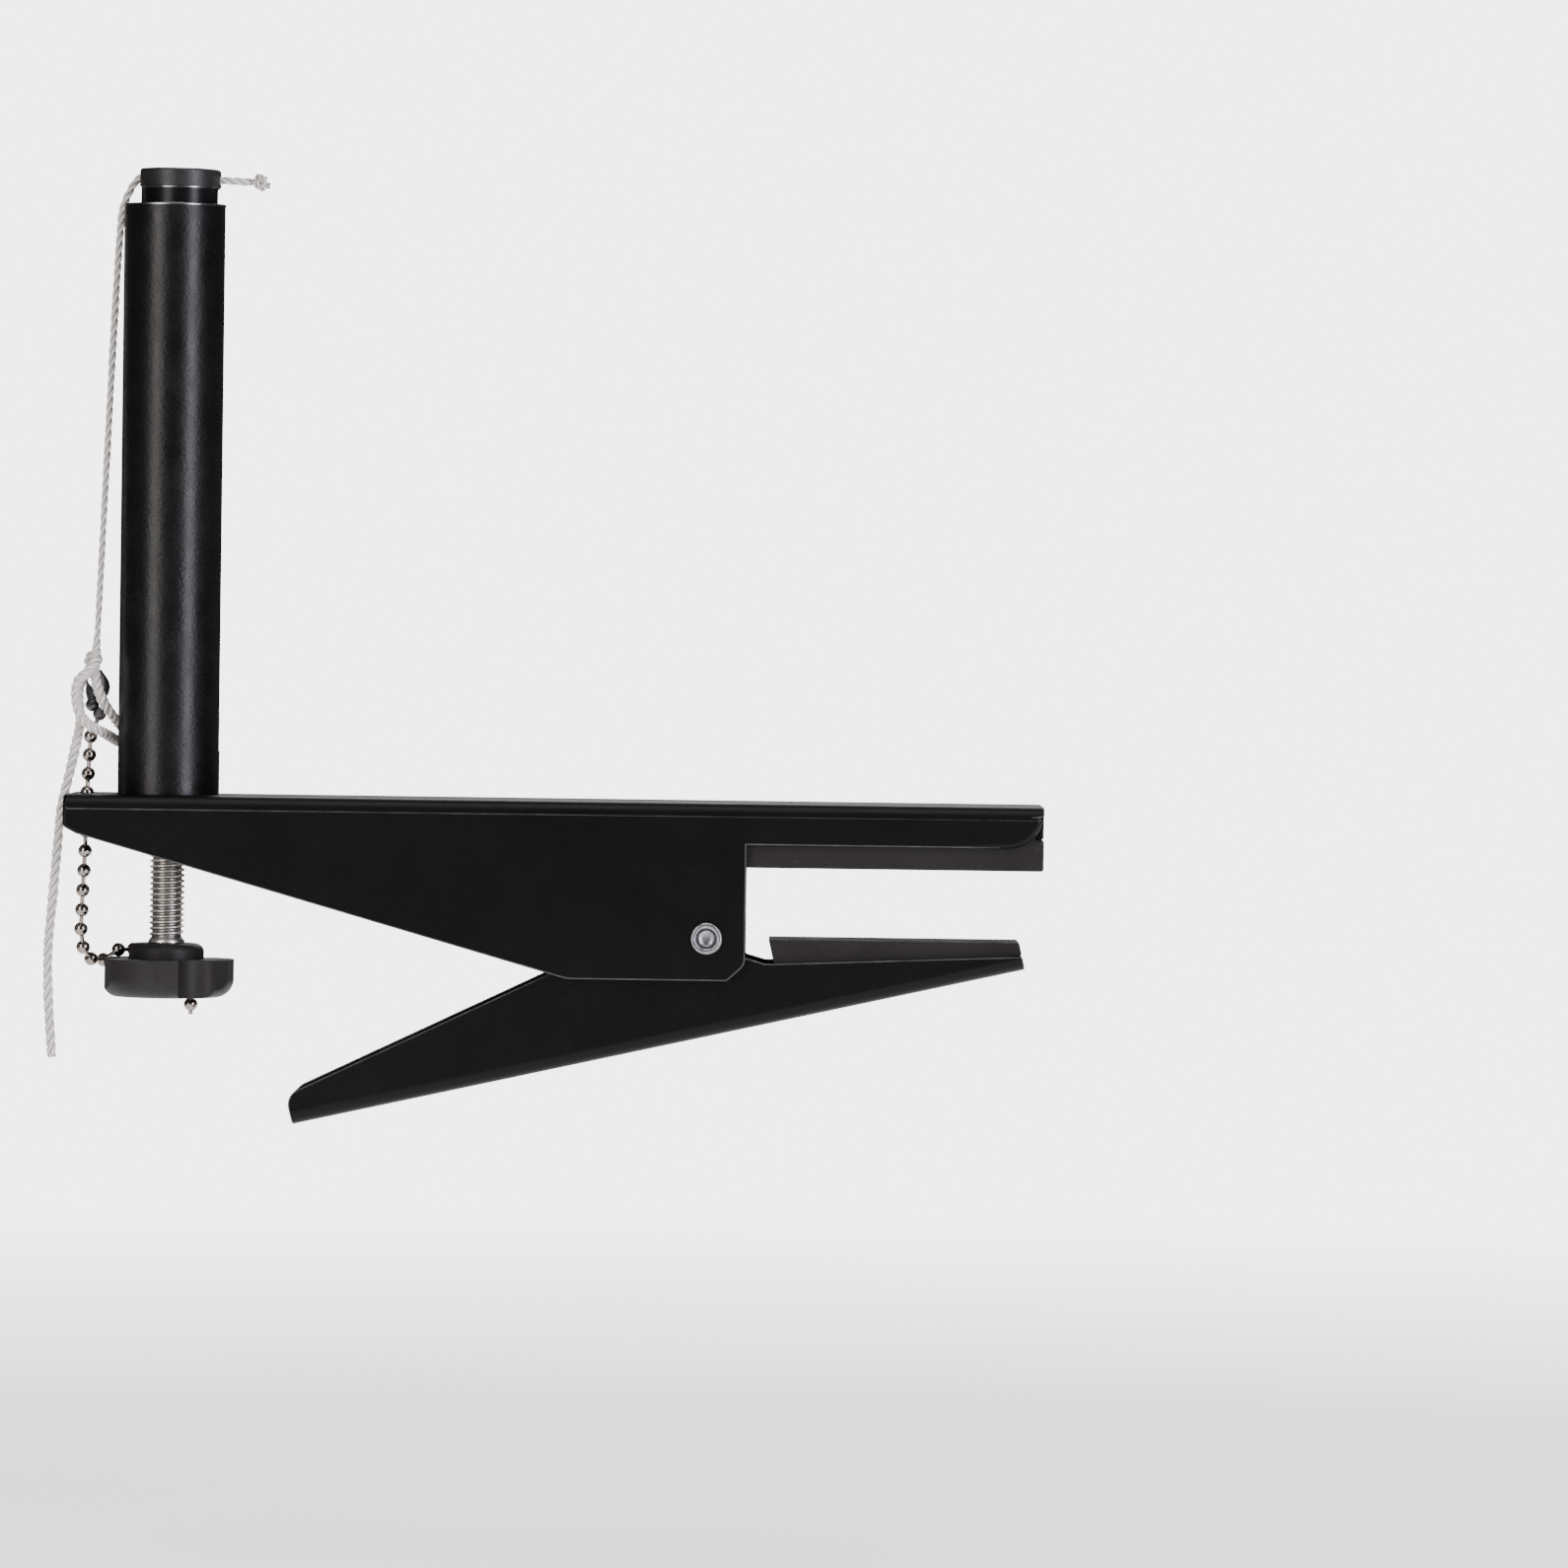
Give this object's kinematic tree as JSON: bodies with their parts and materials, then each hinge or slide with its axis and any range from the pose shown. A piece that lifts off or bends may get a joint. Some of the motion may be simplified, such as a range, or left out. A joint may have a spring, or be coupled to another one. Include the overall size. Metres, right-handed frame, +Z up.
{
  "type": "table tennis net clamp",
  "caption": "Sprung table clamp with a slotted net post, height screw and knob, bead chain gauge and tension cord.",
  "frame": {"origin": "where the table's edge meets the playing surface, at the clamp's mid-depth", "axes": "+X over the table towards the net, +Y away from the viewer of the picture, +Z up"},
  "size_m": [0.2227, 0.0374, 0.2118],
  "materials": {
    "black_powder_coat": "satin black powder coat with fine grain",
    "satin_black_tube": "satin black with fine grain",
    "pad_rubber": "matte brown-black moulded rubber",
    "gloss_black": "glossy black enamel",
    "gloss_black_cap": "glossy black moulded plastic",
    "nickel": "polished nickel plate",
    "bright_steel": "turned steel",
    "nylon": "natural nylon",
    "spring_steel": "oiled dark spring wire",
    "black_oxide": "black oxide",
    "zinc_plate": "bright zinc plate",
    "knob_plastic": "matte moulded black plastic",
    "bead_nickel": "dark nickel plate",
    "white_cord": "off-white three-strand twisted cord"
  },
  "bodies": {
    "bracket": {"upper_bracket": "black_powder_coat", "upper_jaw_pad": "pad_rubber", "post_tube": "satin_black_tube", "post_foot_nut": "black_oxide", "pivot_rivet": "nickel", "pivot_sleeve": "bright_steel", "pivot_washer_front": "nylon", "pivot_washer_back": "nylon", "torsion_spring": "spring_steel", "bead_chain_tie": "bead_nickel", "bead_chain_drop": "bead_nickel", "tension_cord_tail": "white_cord"},
    "lever": {"lower_lever": "black_powder_coat", "lower_jaw_pad": "pad_rubber"},
    "inner_post": {"inner_post": "gloss_black", "post_cap": "gloss_black_cap", "guide_screw": "black_oxide", "thrust_washer": "nylon", "tension_cord_run": "white_cord", "cord_stopper_knot": "white_cord"},
    "knob_screw": {"height_screw": "zinc_plate", "knob": "knob_plastic", "knob_nut": "zinc_plate", "bead_chain_tail": "bead_nickel"}
  },
  "joints": [
    {"name": "lever_pivot", "type": "hinge", "parent": "bracket", "child": "lever", "pos_m": [-0.0086, 0, -0.0157], "axis": [0, 1, 0], "range_deg": [-13, 24], "stiffness_Nm_per_rad": 4, "deforming": ["torsion_spring"]},
    {"name": "post_height", "type": "slide", "parent": "bracket", "child": "inner_post", "axis": [0, 0, 1], "range_m": [-0.00375, 0.0075], "deforming": ["tension_cord_run", "bead_chain_drop"]},
    {"name": "knob_turn", "type": "hinge", "parent": "inner_post", "child": "knob_screw", "pos_m": [-0.1291, 0, 0], "axis": [0, 0, 1], "range_deg": [-1080, 2160]}
  ],
  "couplings": [
    {"joint": "knob_turn", "follows": "post_height", "rad_per_m": 5026.5}
  ]
}
